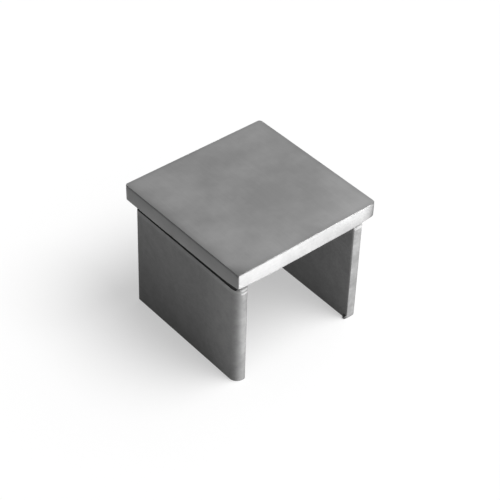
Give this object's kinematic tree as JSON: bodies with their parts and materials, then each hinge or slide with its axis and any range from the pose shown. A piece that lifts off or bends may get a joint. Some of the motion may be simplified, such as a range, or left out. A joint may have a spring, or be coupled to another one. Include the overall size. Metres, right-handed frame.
{
  "type": "profile end cap",
  "caption": "Square end cap: a flat cover plate over parallel legs that drive into a slotted square tube, either side of its slot.",
  "frame": {"origin": "middle of the cover plate's underside, on the plane where the tube's end seats", "axes": "+Z out of the tube, square to the cover plate; the legs hang along -Z and stand at -X and +X; -Y is the front, the side of the legs' rounded corners"},
  "size_m": [0.04, 0.04, 0.0347],
  "materials": {
    "stainless_steel": "fine satin-ground cover plate, blasted and part-ground cast legs"
  },
  "bodies": {
    "root": {"end_cap": "stainless_steel"}
  },
  "joints": []
}
